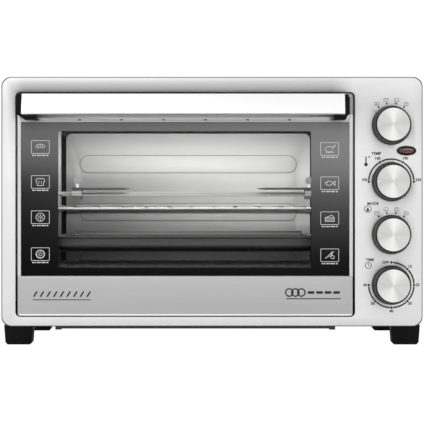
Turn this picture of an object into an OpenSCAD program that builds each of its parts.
// Countertop toaster oven: a drop-down glass door on the left, four control knobs on the right, a wire rack,
// a baking tray and a rotisserie spit in the cavity, and a crumb tray that slides out under the base.
// Millimetres. +X points right seen from the front, +Y to the back, +Z up. The origin is on the table,
// under the middle of the overall box. "Depth" below is measured backwards from the fascia's front face.

/* [Body] */
// Width of the front fascia
body_w = 525; // [520:1:540]
// Height of the front fascia
fascia_h = 311; // [310:1:318]
// Height of the fascia's lower edge above the table
foot_h = 24; // [23:1:30]
// Depth from the fascia's face to the back edge of the cover
body_d = 352; // [350:1:380]
// Radius of the fascia's corners
corner_r = 12; // [10:1:14]
// Sheet-metal thickness
sheet = 1; // [0.8:0.1:1]

/* [Door] */
// Sideways place of the middle of the door and the cavity
door_cx = -33.4; // [-36:0.1:-32]
// Width of the door opening
opening_w = 423.2; // [420:0.2:426]
// Height of the door opening
opening_h = 280; // [278:1:282]
// Reach of the handle in front of the fascia
handle_out = 38; // [30:1:38]

/* [Cavity] */
// Width inside the cavity
cavity_w = 350; // [346:1:352]
// Depth at which the cavity's back wall stands
cavity_d = 300; // [290:1:310]
// Number of wires across the rack
rack_wires = 12; // [10:1:12]

/* [Controls] */
// Diameter of a knob's skirt
knob_dia = 49; // [44:1:50]
// Length of a knob
knob_len = 25; // [20:1:28]
// Radius of a control shaft
shaft_r = 3; // [2.5:0.1:3]

/* [Hidden] */
$fn = 64;

spacer_len = 16;
face_y = handle_out - (handle_out + body_d + spacer_len) / 2; // Y of the fascia's front face
gap = 0.3; // assembly clearance between panels

top_z = foot_h + fascia_h;
open_x = [door_cx - opening_w / 2, door_cx + opening_w / 2];
open_z = [foot_h + 12, foot_h + 12 + opening_h];
opening_r = 6;

door_x = [open_x[0] + 3, open_x[1] - 3];
door_z = [open_z[0] + 1.4, open_z[1] - 2];
door_front = -2;
door_back = 18;
rim = 4; // width of the door frame's rim
glass_z = [door_z[0] + 49.4, door_z[1] - 35.3];
trim_z = [glass_z[1] + 0.1, glass_z[1] + 8.8];
grip_z = [door_z[1] - 27.5, door_z[1] - 2]; // lower and upper edge of the handle bar
post_w = 20; // width of a handle bracket
hinge_depth = 3;
hinge_z = door_z[0] + 12;
pin_r = 1.6;
eye_r = 2.9; // radius of a hinge bracket's eye
running = 0.05; // radial clearance of turning pins and shafts
arm_r = 62; // radius of the door's hinge arms about the hinge pins
arm_angles = [14.5, 109];
arm_t = 2;

frame_depth = 21; // the cavity's front frame, which the door closes in front of
cav_cx = door_cx - 0.6;
cav_x = [cav_cx - cavity_w / 2, cav_cx + cavity_w / 2];
cav_top = open_z[1] - 23;
cav_bottom = foot_h + 38;
floor_z = foot_h + 74.3; // top of the plate over the lower heating elements
collar_depth = cavity_d - 64;
collar_top = open_z[1] - 37.7;
bead_pitch = 68.2;
bead_h = 24.3;
bead_z = floor_z + 12.2; // top of the lowest bead

rack_z = foot_h + 146.5; // centre of the rack's rails
rack_rail_r = 1.9;
rack_wire_r = 1.25;
rack_pitch = 28.75;
rack_x = [cav_x[0] + 3.2, cav_x[1] - 3.2];
rack_depth = [24, cavity_d - 10];
tray_z = [foot_h + 92.2, foot_h + 112.3]; // underside and rim of the baking tray
tray_rim = 9;
tray_rim_t = 2.4;
tray_lip = 3.8; // height of the upturned rear edge
guide_depth = [30, 188];
guide_w = 7.5;

spit_depth = 150;
spit_z = foot_h + 166.6;
spit_side = 6;
fork_x = [cav_cx - 146, cav_cx + 164];
fork_w = 13;
tine_len = 63;
fan_depth = 95;
fan_z = foot_h + 204;
lamp_depth = 195;
lamp_z = foot_h + 221;
heater_depths = [88, 184];
heater_zs = [foot_h + 56, foot_h + 259.5];
heater_r = 3.5;
shield_x = cav_x[1] + 31;

knob_x = cav_cx + 257.5;
// rotisserie, temperature, function, timer
knob_zs = [foot_h + 250.7, foot_h + 180.3, foot_h + 114.5, foot_h + 51.6];
bracket_depth = 16;
lens_x = knob_x + 19;
lens_z = foot_h + 219;
lens_half = [12.1, 5.75]; // half the width and height of the indicator's bezel
gland_x = 190;
gland_z = foot_h + 36;
gland_r = 4.1;
spring_len = 60;
spring_turns = 9;

foot_size = [36, 27];
foot_x = body_w / 2 - 19.5;
foot_depths = [15, 263];
crumb_x = [cav_cx - 161, cav_cx + 187];
crumb_depth = [4, 330];

steel = "silver";
dark = [0.12, 0.12, 0.13];

// ---- helpers: everything is placed by x, depth behind the fascia's face, and z ----

module at(x, d, z) translate([x, face_y + d, z]) children();

module block(x, d, z) at(x[0], d[0], z[0]) cube([x[1] - x[0], d[1] - d[0], z[1] - z[0]]);

// a 2D shape drawn in x and z, as thick as the depths d say
module front_plate(d) at(0, d[1], 0) rotate([90, 0, 0]) linear_extrude(d[1] - d[0]) children();

// a 2D shape drawn in depth and z, as thick as x says
module side_plate(x) at(x[0], 0, 0) rotate([90, 0, 90]) linear_extrude(x[1] - x[0]) children();

module rod_x(x, d, z, r) at(x[0], d, z) rotate([0, 90, 0]) cylinder(r = r, h = x[1] - x[0]);

module rod_y(x, d, z, r) at(x, d[0], z) rotate([-90, 0, 0]) cylinder(r = r, h = d[1] - d[0]);

module rounded(x, z, r) {
    translate([x[0] + r, z[0]]) square([x[1] - x[0] - 2 * r, z[1] - z[0]]);
    translate([x[0], z[0] + r]) square([x[1] - x[0], z[1] - z[0] - 2 * r]);
    for (px = [x[0] + r, x[1] - r], pz = [z[0] + r, z[1] - r]) translate([px, pz]) circle(r);
}

module rounded_ring(x, z, r, wall) difference() {
    rounded(x, z, r);
    rounded([x[0] + wall, x[1] - wall], [z[0] + wall, z[1] - wall], max(r - wall, 0.5));
}

module rectangle(x, z) translate([x[0], z[0]]) square([x[1] - x[0], z[1] - z[0]]);

module oval(half) polygon([for (a = [0 : 7.5 : 352.5]) [half[0] * cos(a), half[1] * sin(a)]]);

function grown(range, by) = [range[0] - by, range[1] + by];

// ---- casing ----

module front_fascia() color(steel) {
    half = body_w / 2;
    difference() {
        union() {
            front_plate([0, sheet]) rounded([-half, half], [foot_h, top_z], corner_r);
            front_plate([sheet, 12]) rounded_ring([-half, half], [foot_h, top_z], corner_r, sheet);
            front_plate([sheet, 8]) intersection() {
                rounded_ring(grown(open_x, sheet), grown(open_z, sheet), opening_r + sheet, sheet);
                rectangle(grown(open_x, 5), [open_z[0] + 20, open_z[1] + 5]);
            }
        }
        front_plate([-1, sheet + 0.01]) rounded(open_x, open_z, opening_r);
        for (z = knob_zs) rod_y(knob_x, [-1, 3], z, shaft_r + 3);
        front_plate([-1, 3]) translate([lens_x, lens_z]) oval(lens_half - [0.9, 0.9]);
    }
}

module vent_rows(xs, depths, zs, slot) {
    for (x = xs, d = depths, z = zs) at(x, d, z) cube(slot, center = true);
}

module outer_cover() color(dark) {
    half = body_w / 2 - sheet - gap;
    bottom = foot_h + 3;
    difference() {
        front_plate([2, body_d]) difference() {
            rounded_ring([-half, half], [foot_h - 20, top_z - sheet - gap], corner_r - sheet - gap, sheet);
            rectangle([-half - 1, half + 1], [foot_h - 21, bottom]);
        }
        vent_rows([-half, half], [200, 240, 280], [for (i = [0 : 7]) top_z - 60 - 11 * i], [6, 30, 4]);
        vent_rows([-half, half], [200, 240, 280], [for (i = [0 : 4]) foot_h + 40 + 11 * i], [6, 30, 4]);
        for (x = [-150 : 25 : 150]) at(x, body_d - 34, top_z) cube([5, 32, 10], center = true);
        block([-body_w / 2, body_w / 2], [1, 12.3], [foot_h, foot_h + corner_r + 0.5]);
    }
}

module rear_cover() color(dark) {
    half = body_w / 2 - 2 * sheet - 2 * gap;
    difference() {
        front_plate([body_d - 2, body_d - 1])
            rounded([-half, half], [foot_h + 3, top_z - 2 * sheet - 2 * gap], 9);
        for (z = [0 : 9]) at(-110, body_d - 1.5, top_z - 60 - 11 * z) cube([90, 6, 4], center = true);
        for (z = [0 : 9]) at(60, body_d - 1.5, top_z - 60 - 11 * z) cube([90, 6, 4], center = true);
        rod_y(gland_x, [body_d - 5, body_d + 1], gland_z, gland_r + 3);
        for (p = cover_screw_places()) rod_y(p[0], [body_d - 5, body_d + 1], p[1], 2.1);
    }
}

function cover_screw_places() = [for (x = [-240, 0, 240], z = [foot_h + 16, top_z - 18]) [x, z]];

// the rear cover's cross-head screws, and the screws that hold the feet from below
module casing_screws() color(steel) {
    for (p = cover_screw_places()) {
        rod_y(p[0], [body_d - 9, body_d - 1], p[1], 2);
        difference() {
            rod_y(p[0], [body_d - 1, body_d + 0.8], p[1], 4);
            at(p[0], body_d + 0.8, p[1]) cube([5, 1.6, 1], center = true);
            at(p[0], body_d + 0.8, p[1]) cube([1, 1.6, 5], center = true);
        }
    }
    for (p = foot_places()) at(p[0], p[1], 0) {
        translate([0, 0, 12]) cylinder(r = 2, h = foot_h - 4);
        translate([0, 0, 9]) cylinder(r = 4, h = 3);
    }
}

module rear_spacers() color(dark) for (x = [-160, 160]) difference() {
    at(x, body_d - 1, top_z - 40) rotate([-90, 0, 0]) cylinder(r1 = 13, r2 = 10, h = spacer_len + 1);
    at(x, body_d + spacer_len - 2.5, top_z - 40) rotate([-90, 0, 0]) cylinder(r = 6, h = 3);
}

module cord_gland() color(dark) difference() {
    union() {
        rod_y(gland_x, [body_d - 8, body_d - 1], gland_z, gland_r + 2.8);
        rod_y(gland_x, [body_d - 1, body_d + 3], gland_z, gland_r + 7);
    }
    rod_y(gland_x, [body_d - 9, body_d + 4], gland_z, gland_r);
}

module base_pan() color(dark) {
    half = body_w / 2 - 2 * sheet - 2 * gap;
    z0 = foot_h + 0.5;
    difference() {
        union() {
            block([-half, half], [13, body_d - 2.3], [z0, z0 + sheet]);
            for (x = [-half, half - sheet]) block([x, x + sheet], [13, body_d - 2.3], [z0 + sheet, z0 + 11]);
            block([-half, half], [13, 13 + sheet], [z0 + sheet, z0 + 9]);
            block([-half, half], [body_d - 3.3, body_d - 3.3 + sheet], [z0 + sheet, z0 + 24]);
        }
        for (p = cover_screw_places()) rod_y(p[0], [body_d - 5, body_d], p[1], 2.1);
        rod_y(gland_x, [body_d - 5, body_d], gland_z, gland_r + 3);
        block([crumb_x[0] + 6, cav_x[1] - 12], [70, 280], [z0 - 1, z0 + 2]);
        for (x = arm_x()) block([x - 2, x + arm_t + 2], [52, 76], [z0 - 1, z0 + 2]);
        for (p = foot_places()) at(p[0], p[1], z0 - 1) cylinder(r = 2.1, h = 3);
    }
    for (side = [0, 1]) {
        x = crumb_x[side] + (side ? 0.4 : -0.4 - 1.2);
        block([x, x + 1.2], [14, body_d - 20], [foot_h - 4, z0]);
        lip = side ? [x - 6, x + 1.2] : [x, x + 7.2];
        block(lip, [14, body_d - 20], [foot_h - 5, foot_h - 4 + 0.8]);
    }
}

function foot_places() = [for (x = [-foot_x, foot_x], d = foot_depths) [x, d + foot_size[1] / 2]];

// one foot, tapering to the table and chamfered, with a counterbored screw hole
module foot() difference() {
    hull() {
        translate([0, 0, foot_h + 0.25]) cube([foot_size[0], foot_size[1], 0.5], center = true);
        translate([0, 0, 3.5]) cube([foot_size[0] - 3, foot_size[1] - 2, 1], center = true);
        translate([0, 0, 0.5]) cube([foot_size[0] - 8, foot_size[1] - 6, 1], center = true);
    }
    translate([0, 0, -1]) cylinder(r = 5, h = 13);
    translate([0, 0, -1]) cylinder(r = 2.1, h = foot_h + 3);
}

module feet() color(dark) for (p = foot_places()) at(p[0], p[1], 0) foot();

module crumb_tray() color([0.3, 0.3, 0.31]) difference() {
    block(crumb_x, crumb_depth, [foot_h - 3, foot_h - 0.2]);
    block(grown(crumb_x, -sheet), grown(crumb_depth, -sheet), [foot_h - 2.2, foot_h]);
}

// ---- cavity ----

module cavity_liner() color(steel) {
    d = [frame_depth + sheet, cavity_d + sheet];
    difference() {
        block([cav_x[0] - sheet, cav_x[0]], d, [cav_bottom - sheet, cav_top + sheet]);
        heater_holes();
    }
    difference() {
        block([cav_x[1], cav_x[1] + sheet], d, [cav_bottom - sheet, cav_top + sheet]);
        heater_holes();
        rod_x(grown(cav_x, 3), spit_depth, spit_z, 8);
        rod_x([cav_x[1] - 2, cav_x[1] + 3], fan_depth, fan_z, 35);
        rod_x([cav_x[1] - 2, cav_x[1] + 3], lamp_depth, lamp_z, 14);
    }
    block(cav_x, d, [cav_top, cav_top + sheet]);
    block(cav_x, d, [cav_bottom - sheet, cav_bottom]);
}

module heater_holes() for (h = heater_places()) rod_x(grown(cav_x, 4), h[0], h[1], heater_r + 1.7);

function heater_places() = [for (d = heater_depths, z = heater_zs) [d, z]];

module cavity_front_frame() color(steel) front_plate([frame_depth, frame_depth + sheet]) difference() {
    rounded([open_x[0] - 7, open_x[1] + 4], [open_z[0] - 7, open_z[1] + 6], 4);
    rounded(cav_x, [floor_z, cav_top], 2);
    for (x = arm_x()) rectangle([x - 1.5, x + arm_t + 1.5], [hinge_z + 48, hinge_z + 68]);
}

module cavity_rear_collar() color(dark) {
    x = grown(cav_x, -0.1);
    difference() {
        front_plate([collar_depth, cavity_d - 0.1])
            rounded_ring(x, [floor_z - 40, collar_top + 1.2], 9.7, 1.2);
        block(grown(cav_x, 1), [collar_depth - 1, cavity_d + 1], [floor_z - 50, floor_z + 0.1]);
    }
    block(x, [collar_depth, collar_depth + 1.2], [collar_top + 1.2, cav_top - 0.1]);
}

// a long pressed bead with round ends
module bead(half_w, h) {
    translate([-half_w + h / 2, -h / 2]) square([2 * half_w - h, h]);
    for (s = [-1, 1]) translate([s * (half_w - h / 2), 0]) circle(h / 2);
}

module cavity_back_wall() color(steel) {
    front_plate([cavity_d, cavity_d + sheet]) rectangle(cav_x, [cav_bottom, cav_top]);
    for (i = [0 : 2]) front_plate([cavity_d - 1.2, cavity_d])
        translate([cav_cx, bead_z - bead_h / 2 + i * bead_pitch]) bead(154, bead_h);
}

module heater_cover_plate() color([0.25, 0.25, 0.26]) difference() {
    union() {
        block(grown(cav_x, -0.2), [frame_depth + 1.3, cavity_d - 1.4], [floor_z - sheet, floor_z]);
        for (x = [cav_x[0] + 0.2, cav_x[1] - 1.2])
            block([x, x + sheet], [frame_depth + 1.3, cavity_d - 1.4], [floor_z - 9, floor_z - sheet]);
    }
    for (x = [-10 : 10], d = [46, 268]) at(cav_cx + x * 15.5, d, floor_z) cube([4, 22, 6], center = true);
}

module rack_guides() color(steel) for (side = [0, 1]) {
    inward = side ? -1 : 1;
    wall = cav_x[side] + inward * 0.1;
    for (z = [tray_z[1] - tray_rim_t - 0.3, rack_z - rack_rail_r - 0.3]) {
        leg = wall + inward * sheet;
        tip = wall + inward * guide_w;
        block([min(wall, leg), max(wall, leg)], guide_depth, [z - 8, z]);
        block([min(leg, tip), max(leg, tip)], guide_depth, [z - 1.5, z]);
    }
}

module heating_elements() color([0.35, 0.33, 0.32])
    for (h = heater_places()) rod_x(grown(cav_x, 9), h[0], h[1], heater_r);

module heater_insulators() color("white") for (h = heater_places(), side = [0, 1]) difference() {
    wall = cav_x[side] + (side ? 0.5 : -0.5);
    rod_x([wall - 5, wall + 5], h[0], h[1], heater_r + 1.5);
    rod_x([wall - 6, wall + 6], h[0], h[1], heater_r + 0.1);
}

module wire_rack() color(steel) {
    rods = [for (i = [0 : rack_wires - 1]) rack_x[0] + 6.8 + i * rack_pitch];
    for (d = rack_depth) rod_x(rack_x, d, rack_z, rack_rail_r);
    for (x = rack_x) {
        rod_y(x, rack_depth, rack_z, rack_rail_r);
        for (d = rack_depth) at(x, d, rack_z) sphere(r = rack_rail_r);
    }
    for (x = rods) rod_y(x, grown(rack_depth, 1), rack_z + rack_rail_r + rack_wire_r + 0.02, rack_wire_r);
}

// the tray's trough, with its lower edges curved in
module trough(inset, base) {
    x = grown(rack_x, 0.5);
    steps = [[8, 0], [4.6, 0.8], [2, 2.6], [0.5, 5.4], [0, 8.8]];
    for (i = [0 : 3]) hull() for (s = [steps[i], steps[i + 1]])
        at(0, 0, base + s[1]) linear_extrude(0.1)
            rounded(grown(x, -inset - s[0]), grown(rack_depth, -inset - s[0]), 8);
    at(0, 0, base + 8.8) linear_extrude(40) rounded(grown(x, -inset), grown(rack_depth, -inset), 8);
}

module baking_tray() color(dark) {
    x = grown(rack_x, 0.5);
    difference() {
        union() {
            at(0, 0, tray_z[1] - tray_rim_t) linear_extrude(tray_rim_t) rounded(x, rack_depth, 10);
            intersection() {
                trough(tray_rim, tray_z[0]);
                block(x, rack_depth, tray_z);
            }
        }
        trough(tray_rim + 1.2, tray_z[0] + 1.2);
    }
    block(grown(x, -11), [rack_depth[1] - 3, rack_depth[1] - 1.5], [tray_z[1] - 0.5, tray_z[1] + tray_lip]);
}

// ---- rotisserie, fan and lamp ----

module spit_rod() color(steel) {
    block([cav_x[0] + 9, cav_x[1] + 14], grown([spit_depth, spit_depth], spit_side / 2),
        grown([spit_z, spit_z], spit_side / 2));
    rod_x([cav_x[0] + 2.4, cav_x[0] + 9], spit_depth, spit_z, 2.6);
}

// a fork: a U-shaped clamp on the rod, two tines pointing inwards, and a thumbscrew
module fork(dir) {
    at(0, spit_depth, spit_z) {
        difference() {
            translate([-fork_w / 2, -12.5, -7]) cube([fork_w, 25, 15.5]);
            translate([-fork_w / 2 + 1.5, -11, -8]) cube([fork_w - 3, 22, 14.7]);
            cube([fork_w + 2, spit_side + 0.2, spit_side + 0.2], center = true);
            translate([0, 0, 5]) cylinder(r = 2.1, h = 5);
        }
        for (y = [-10.5, 10.5]) translate([dir * fork_w / 2, y, 7.2]) rotate([0, dir * 90, 0]) {
            cylinder(r = 1.25, h = tine_len - 9);
            translate([0, 0, tine_len - 9]) cylinder(r1 = 1.25, r2 = 0.3, h = 9);
        }
    }
}

module fork_screw() at(0, spit_depth, spit_z) {
    translate([0, 0, spit_side / 2 + 0.1]) cylinder(r = 2, h = 8);
    translate([0, 0, 10.4]) cylinder(r1 = 1.8, r2 = 3.2, h = 3);
    translate([0, 1.5, 17.8]) rotate([90, 0, 0]) linear_extrude(3) oval([5.3, 4.9]);
}

module spit_forks() color(steel) for (i = [0, 1]) translate([fork_x[i], 0, 0]) {
    fork(i ? -1 : 1);
    fork_screw();
}

module spit_drive() color(steel) difference() {
    union() {
        rod_x([cav_x[1] + 2.5, cav_x[1] + 20], spit_depth, spit_z, 7);
        rod_x([cav_x[1] + 20, shield_x + 12], spit_depth, spit_z, 3);
    }
    block([cav_x[1] + 2, cav_x[1] + 14.5], grown([spit_depth, spit_depth], spit_side / 2 + 0.1),
        grown([spit_z, spit_z], spit_side / 2 + 0.1));
}

module spit_cradle() color(steel) side_plate([cav_x[0] + 2.8, cav_x[0] + 5.3]) difference() {
    translate([spit_depth - 11, spit_z - 16]) square([22, 22]);
    translate([spit_depth, spit_z]) circle(2.7);
    translate([spit_depth - 2.7, spit_z]) square([5.4, 10]);
}

module cradle_foot() color(steel)
    block([cav_x[0] + 0.1, cav_x[0] + 2.8], [spit_depth - 11, spit_depth + 11], [spit_z - 16, spit_z - 8]);

module rotisserie_motor() color([0.6, 0.6, 0.6]) difference() {
    union() {
        block([shield_x + sheet + 0.2, shield_x + 20], [spit_depth - 25, spit_depth + 25],
            [spit_z - 20, spit_z + 20]);
        rod_x([shield_x + 20, shield_x + 28], spit_depth + 5, spit_z, 18);
    }
    rod_x([shield_x - 1, shield_x + 14], spit_depth, spit_z, 3 + running);
}

module fan_blade() color(steel) {
    hub = [cav_x[1] + 5, cav_x[1] + 15];
    rod_x([hub[0], hub[1]], fan_depth, fan_z, 8);
    rod_x([hub[1], shield_x + 14], fan_depth, fan_z, 3);
    for (a = [0 : 45 : 315]) at(hub[0], fan_depth, fan_z) rotate([a, 0, 0])
        translate([0, -1, 6]) rotate([0, 0, -35]) cube([11, 1, 25]);
}

module fan_motor() color([0.6, 0.6, 0.6]) difference() {
    union() {
        rod_x([shield_x + sheet + 0.2, shield_x + 26], fan_depth, fan_z, 21);
        block([shield_x + 8, shield_x + 24], [fan_depth - 27, fan_depth + 27], [fan_z - 12, fan_z + 12]);
    }
    rod_x([shield_x - 1, shield_x + 16], fan_depth, fan_z, 3 + running);
}

module fan_guard() color(steel) at(cav_x[1] - 1.6, fan_depth, fan_z) rotate([0, 90, 0]) difference() {
    cylinder(r = 40, h = 1.5);
    for (ring = [1 : 3], i = [1 : 6 * ring]) rotate([0, 0, i * 60 / ring])
        translate([10.5 * ring, 0, -1]) cylinder(r = 3.2, h = 4, $fn = 24);
}

// a small bulb: a dome that narrows to a straight neck
module oven_lamp() color("lightyellow") at(cav_x[1], lamp_depth, lamp_z) rotate([0, 90, 0])
    rotate_extrude() polygon([[0, 2], [3.2, 2.7], [6, 4.8], [7.8, 7.8], [8.4, 11.5], [7.8, 15], [6, 19], [6, 27],
        [0, 27]]);

module lamp_cover() color([0.8, 0.85, 0.9, 0.5]) difference() {
    rod_x([cav_x[1] - 3, cav_x[1] - 0.1], lamp_depth, lamp_z, 17);
    rod_x([cav_x[1] - 1.5, cav_x[1] + 1], lamp_depth, lamp_z, 12);
}

module heat_shield() color(steel) difference() {
    block([shield_x, shield_x + sheet], [frame_depth + 1.5, body_d - 4], [foot_h + 12, top_z - 6]);
    rod_x([shield_x - 1, shield_x + 3], spit_depth, spit_z, 6);
    rod_x([shield_x - 1, shield_x + 3], fan_depth, fan_z, 6);
}

// ---- controls ----

module control_bracket() color(steel) {
    x = [knob_x - 36, knob_x + 34];
    z = [foot_h + 20, top_z - 15];
    front_plate([bracket_depth, bracket_depth + 1.5]) difference() {
        rectangle(x, z);
        for (kz = knob_zs) translate([knob_x, kz]) circle(5.2);
    }
    for (wall = [x[0], x[1] - 1.5]) block([wall, wall + 1.5], [sheet + 0.1, bracket_depth], z);
}

// the bush that holds a control to the bracket; the shaft turns inside it
module bush(z) rod_y(knob_x, [bracket_depth - 4, bracket_depth + 1.6], z, 4.9);

module shaft_bore(z) rod_y(knob_x, [bracket_depth - 5, bracket_depth + 16], z, shaft_r + running);

module rotary_switch(z) color([0.85, 0.8, 0.7]) difference() {
    union() {
        bush(z);
        block([knob_x - 18, knob_x + 18], [bracket_depth + 1.6, bracket_depth + 26], [z - 18, z + 18]);
        for (i = [-1 : 1]) block([knob_x + i * 10 - 2.5, knob_x + i * 10 + 2.5],
            [bracket_depth + 26, bracket_depth + 34], [z - 0.4, z + 0.4]);
    }
    shaft_bore(z);
}

module rotisserie_switch() rotary_switch(knob_zs[0]);

module function_switch() rotary_switch(knob_zs[2]);

module thermostat() color([0.85, 0.8, 0.7]) difference() {
    union() {
        bush(knob_zs[1]);
        rod_y(knob_x, [bracket_depth + 1.6, bracket_depth + 24], knob_zs[1], 19);
        block([knob_x - 22, knob_x + 22], [bracket_depth + 8, bracket_depth + 20],
            [knob_zs[1] - 9, knob_zs[1] + 9]);
    }
    shaft_bore(knob_zs[1]);
}

module timer() color(steel) difference() {
    union() {
        bush(knob_zs[3]);
        block([knob_x - 20, knob_x + 20], [bracket_depth + 1.6, bracket_depth + 38],
            [knob_zs[3] - 20, knob_zs[3] + 20]);
        rod_y(knob_x, [bracket_depth + 38, bracket_depth + 47], knob_zs[3], 19);
    }
    shaft_bore(knob_zs[3]);
}

module shaft(i) color(steel) rod_y(knob_x, [-knob_len + 5, bracket_depth + 15], knob_zs[i], shaft_r);

// a knob's moulded body: skirt, tapering grip, hollow back with a boss, and a recess for the metal cap
module knob(i) color(dark) at(knob_x, 0, knob_zs[i]) rotate([90, 0, 0]) difference() {
    r = knob_dia / 2;
    front = knob_len + 1;
    rotate_extrude() polygon([[0, front - 1], [r - 4.2, front - 1], [r - 4.2, front], [r - 2.9, front],
        [r - 2.4, front - 0.5], [r - 1.3, 7], [r, 5.5], [r, 1], [r - 2, 1], [r - 4, front - 3],
        [6.5, front - 3],
        [6.5, 2], [0, 2]]);
    translate([0, 0, 1]) cylinder(r = shaft_r + running, h = knob_len - 5.5);
}

module knob_cap(i) color("gainsboro")
    rod_y(knob_x, [-knob_len - 1.4, -knob_len - 0.05], knob_zs[i], knob_dia / 2 - 4.3);

module indicator_bezel() color(dark) {
    front_plate([-1.4, 0]) translate([lens_x, lens_z]) difference() {
        oval(lens_half);
        oval(lens_half - [1.5, 1.5]);
    }
    front_plate([0, 9]) translate([lens_x, lens_z]) difference() {
        oval(lens_half - [1, 1]);
        oval(lens_half - [1.5, 1.5]);
    }
}

module indicator_lens() color([0.35, 0.05, 0.05]) front_plate([-0.9, 8]) translate([lens_x, lens_z])
    oval(lens_half - [1.6, 1.6]);

// ---- door ----

function arm_x() = [door_x[0] + 14, door_x[1] - 14 - arm_t];

module door_frame() color(steel) difference() {
    union() {
        front_plate([door_front, door_back]) rounded_ring(door_x, door_z, 3.5, rim);
        front_plate([2.6, 4]) difference() {
            rounded(grown(door_x, -1), [glass_z[0] - 9, trim_z[0] + 1], 3);
            rounded(grown(door_x, -16), glass_z + [7, -7], 3);
        }
        front_plate([door_back - 1, door_back]) difference() {
            rounded(grown(door_x, -1), grown(door_z, -1), 3);
            rounded([door_x[0] + 42, door_x[1] - 43], [glass_z[0] + 4, glass_z[1] - 4], 6);
        }
    }
    block(grown(door_x, 1), [door_front - 1, 0], [door_z[0] - 1, glass_z[0]]);
    // a rebate along the lower rear edge, which swings past the cavity's front frame
    block(grown(door_x, 1), [door_back - 1.8, door_back + 1], [door_z[0] - 1, door_z[0] + 2.4]);
    for (x = bracket_x()) block([x - 1.5, x + 4.5], [-0.1, door_back + 1], [door_z[0] - 1, hinge_z + 7]);
    for (x = arm_x())
        block([x - 1, x + arm_t + 1], [door_back - 2, door_back + 1], [hinge_z + 52, hinge_z + 68]);
    rod_x(grown(door_x, 1), hinge_depth, hinge_z, pin_r + 0.02);
}

module door_glass() color([0.15, 0.15, 0.16, 0.6])
    front_plate([-1.5, 2.5]) rounded(grown(door_x, -rim - 0.1), glass_z + [0.2, -0.1], 1.5);

module door_lower_panel() color(steel)
    front_plate([door_front - 0.5, -0.05]) rounded(door_x, [door_z[0], glass_z[0] - 0.1], 3.5);

module door_top_trim() color(steel) {
    x = grown(door_x, -rim - 0.1);
    difference() {
        block(x, [door_front, 2.5], trim_z);
        for (i = [0 : 7])
            at(door_x[0] + 24.8 + i * 52.3, 0, trim_z[0] + 2.6) cube([4, 20, 1.4], center = true);
    }
    difference() {
        union() {
            block(x, [0.5, 2.5], [trim_z[1], trim_z[1] + 2]);
            block(x, [4, 6], [trim_z[1], door_z[1] - rim - 0.1]);
            block(x, [2.5, 6], [trim_z[1], trim_z[1] + 2]);
        }
        screw_places() cylinder(r = 2.1, h = 60, center = true);
        for (i = [0, 1]) block(grown(post_x(i), 0.1), [-1, 4], [trim_z[1] + 0.05, door_z[1]]);
    }
}

module screw_places() for (x = [post_x(0)[0] + 10, post_x(1)[0] + 10], z = [grip_z[0] + 7, grip_z[1] - 7])
    at(x, 0, z) rotate([90, 0, 0]) children();

function post_x(i) = i ? [door_x[1] - rim - 0.2 - post_w, door_x[1] - rim - 0.2]
    : [door_x[0] + rim + 0.2, door_x[0] + rim + 0.2 + post_w];

module handle_brackets() color(dark) for (i = [0, 1]) difference() {
    x = post_x(i);
    outer = i ? x[1] : x[0];
    inner = i ? x[0] : x[1];
    dir = i ? -1 : 1;
    edge = i ? outer - 2 : door_x[0] + 0.2;
    union() {
        block([min(inner, edge), max(inner, edge)], [-18.8, door_front - 0.1], [trim_z[1] + 0.1, grip_z[1]]);
        block(x, [door_front - 0.1, 3.9], [trim_z[1] + 0.1, door_z[1] - rim - 0.1]);
        front_plate([-18.8, door_front - 0.1]) polygon([[edge, trim_z[1] + 0.1],
            [outer + dir * 6, trim_z[0] + 2], [inner, trim_z[0] + 2], [inner, trim_z[1] + 0.1]]);
    }
    screw_places() cylinder(r = 2.1, h = 60, center = true);
}

module handle_screws() color(steel) screw_places() {
    translate([0, 0, -6]) cylinder(r = 2, h = 23);
    translate([0, 0, -8.5]) cylinder(r = 4, h = 2.5);
}

// the bar leans: its lower edge stands further forward than its upper edge
module handle_bar() color("whitesmoke") side_plate([post_x(0)[0] + 4, post_x(1)[1] - 7.8]) polygon([
    [-handle_out + 8, grip_z[1]], [-handle_out, grip_z[0] + 0.8], [-handle_out + 1.5, grip_z[0]],
    [-19, grip_z[0]], [-19, grip_z[1]]]);

module ring_sector(r0, r1, angles) intersection() {
    difference() {
        circle(r1, $fn = 128);
        circle(r0, $fn = 128);
    }
    mid = (angles[0] + angles[1]) / 2;
    polygon([[0, 0], for (a = [angles[0], mid, angles[1]]) 3 * r1 * [sin(a), cos(a)]]);
}

module hinge_arms() color(steel) for (x = arm_x()) {
    side_plate([x, x + arm_t])
        translate([hinge_depth, hinge_z]) ring_sector(arm_r - 4, arm_r + 4, arm_angles);
    block([x - 6, x + arm_t + 6], [door_back + 0.05, door_back + 1.5], [hinge_z + 44, hinge_z + 51.8]);
    block([x, x + arm_t], [door_back + 0.05, door_back + 1.5], [hinge_z + 50, hinge_z + 62]);
}

module hinge_pins() color(steel)
    for (x = [[door_x[0] + 0.3, door_x[0] + 12], [door_x[1] - 12, door_x[1] - 0.3]])
    rod_x(x, hinge_depth, hinge_z, pin_r);

function bracket_x() = [door_x[0] + rim + 2, door_x[1] - rim - 5];

module hinge_brackets() color(steel) for (x = bracket_x()) side_plate([x, x + 3]) difference() {
    union() {
        translate([hinge_depth, hinge_z]) circle(eye_r);
        translate([hinge_depth, hinge_z - eye_r]) square([frame_depth - hinge_depth - 0.1, eye_r + 5]);
    }
    translate([hinge_depth, hinge_z]) circle(pin_r + running);
}

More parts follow.
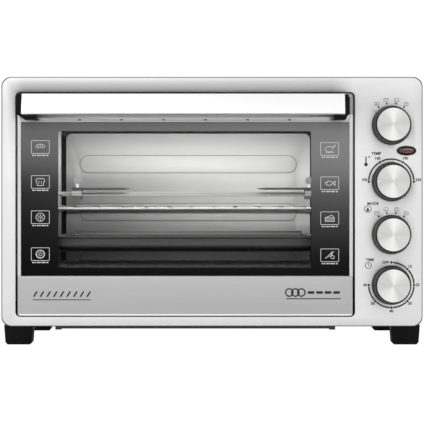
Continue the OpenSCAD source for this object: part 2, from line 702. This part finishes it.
// a tension spring swept round its axis, lying along the depth direction
module coil(r, wire, turns, length) {
    steps = 12;
    n = turns * steps;
    sides = 5;
    ring = function(i) [for (k = [0 : sides - 1]) let (a = 360 * i / steps, b = 360 * k / sides,
        rad = r + wire * cos(b)) [rad * cos(a), length * i / n + wire * sin(b), rad * sin(a)]];
    polyhedron(points = [for (i = [0 : n]) each ring(i)], faces = [
        [for (k = [0 : sides - 1]) k], [for (k = [sides - 1 : -1 : 0]) n * sides + k],
        for (i = [0 : n - 1], k = [0 : sides - 1], half = [0, 1]) let (here = i * sides, next = here + sides,
            after = (k + 1) % sides)
            half ? [here + k, next + after, here + after] : [here + k, next + k, next + after]]);
}

module door_springs() color(steel) for (x = arm_x())
    at(x + arm_t + 5, hinge_depth + arm_r + 4, hinge_z - 14) coil(3.2, 0.6, spring_turns, spring_len);

front_fascia();
outer_cover();
rear_cover();
base_pan();
feet();
casing_screws();
rear_spacers();
cord_gland();
cavity_liner();
cavity_front_frame();
cavity_rear_collar();
cavity_back_wall();
heater_cover_plate();
rack_guides();
heating_elements();
heater_insulators();
union() {
    spit_cradle();
    cradle_foot();
}
rotisserie_motor();
fan_motor();
fan_guard();
oven_lamp();
lamp_cover();
heat_shield();
control_bracket();
rotisserie_switch();
thermostat();
function_switch();
timer();
indicator_bezel();
indicator_lens();
hinge_brackets();
door_springs();
door_frame();
door_glass();
door_lower_panel();
door_top_trim();
handle_bar();
handle_brackets();
handle_screws();
hinge_arms();
hinge_pins();
wire_rack();
baking_tray();
crumb_tray();
spit_rod();
spit_forks();
spit_drive();
fan_blade();
knob(0);  // rotisserie_knob
knob_cap(0);  // rotisserie_knob_cap
shaft(0);  // rotisserie_shaft
knob(1);  // temperature_knob
knob_cap(1);  // temperature_knob_cap
shaft(1);  // temperature_shaft
knob(2);  // function_knob
knob_cap(2);  // function_knob_cap
shaft(2);  // function_shaft
knob(3);  // timer_knob
knob_cap(3);  // timer_knob_cap
shaft(3);  // timer_shaft
